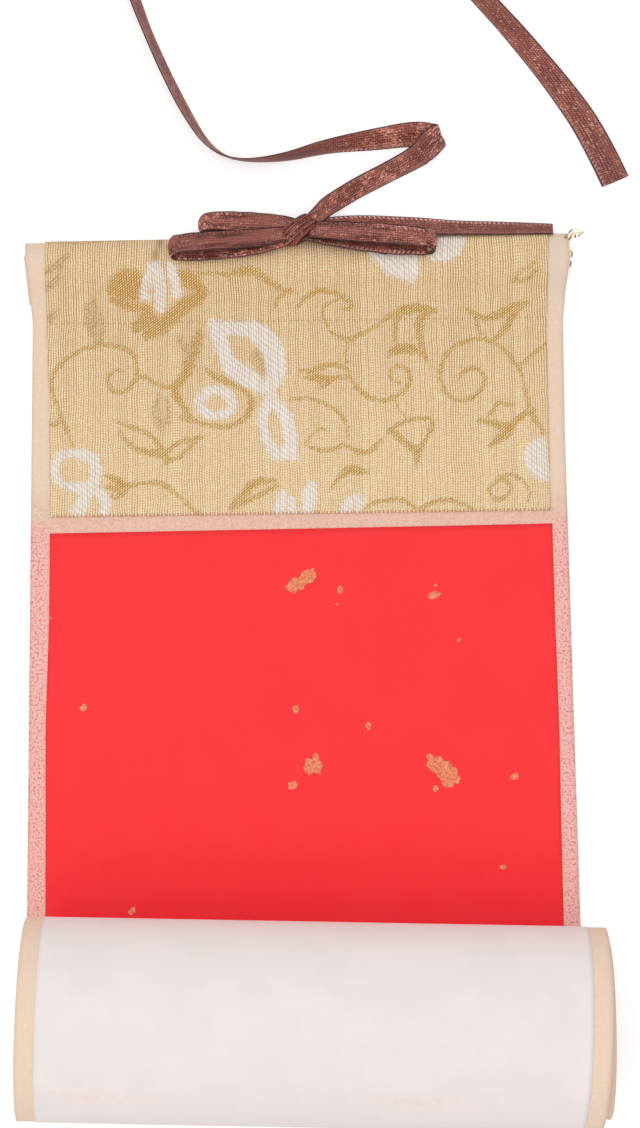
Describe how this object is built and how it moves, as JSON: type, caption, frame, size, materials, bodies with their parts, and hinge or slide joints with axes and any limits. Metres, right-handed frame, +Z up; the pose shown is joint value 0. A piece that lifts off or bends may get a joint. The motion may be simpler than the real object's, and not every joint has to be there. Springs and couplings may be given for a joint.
{
  "type": "paper scroll",
  "caption": "Small paper scroll lying face up and half rolled, with a red writing sheet flecked with gold, a brocade heading over a hem batten, and a tied ribbon with a long loose tail.",
  "frame": {"origin": "on the table under the middle of the scroll, measured without its ribbon", "axes": "X across the sheet, +Y from the roll to the hem, +Z up from the table"},
  "size_m": [0.1392, 0.3004, 0.0414],
  "materials": {
    "mount_paper": "matt, tan",
    "lining_paper": "matt, off-white",
    "red_paper": "matt, bright red",
    "gold_leaf": "thin leaf",
    "brocade_ground": "ribbed silk, cream gold",
    "gold_thread": "metallic thread, old gold",
    "silver_thread": "silk thread, silver white",
    "batten_wood": "plain",
    "roller_wood": "plain",
    "ribbon_satin": "satin, brown"
  },
  "bodies": {
    "root": {"mount_sheet": "mount_paper", "lining_paper": "lining_paper", "red_paper": "red_paper", "gold_flecks": "gold_leaf", "brocade_heading": "brocade_ground", "gold_vines": "gold_thread", "silver_flowers": "silver_thread", "hem_batten": "batten_wood", "roller": "roller_wood", "ribbon_bow": "ribbon_satin", "ribbon_short_tail": "ribbon_satin", "ribbon_long_tail": "ribbon_satin"}
  },
  "joints": []
}
